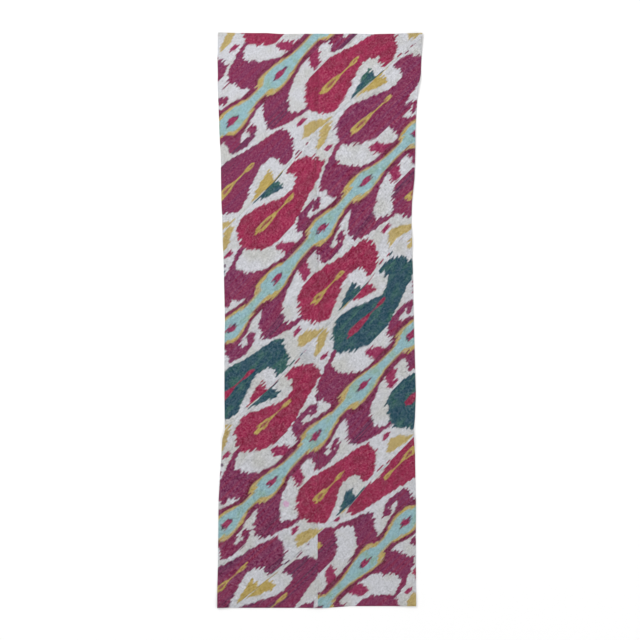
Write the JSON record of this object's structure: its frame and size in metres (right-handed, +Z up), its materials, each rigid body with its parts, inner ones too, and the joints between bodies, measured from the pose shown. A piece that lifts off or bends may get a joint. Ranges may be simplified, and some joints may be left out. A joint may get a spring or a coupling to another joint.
{
  "type": "ikat woven cloth",
  "caption": "Flat length of ikat cloth in two joined panels, each pieced from bias-cut strips, hemmed all round and laid out face up.",
  "frame": {"origin": "middle of the cloth's bounding box, on the surface that it lies on", "axes": "+Y along the length towards the top edge, +X across the width to the right, +Z up out of the dyed face"},
  "size_m": [0.585, 1.6395, 0.005],
  "materials": {
    "ikat_cloth": "soft matt with a faint sheen on the fine ribs"
  },
  "bodies": {
    "root": {"left_panel_strip_1": "ikat_cloth", "left_panel_strip_2": "ikat_cloth", "left_panel_strip_3": "ikat_cloth", "left_panel_strip_4": "ikat_cloth", "right_panel_strip_1": "ikat_cloth", "right_panel_strip_2": "ikat_cloth", "right_panel_strip_3": "ikat_cloth", "right_panel_strip_4": "ikat_cloth"}
  },
  "joints": []
}
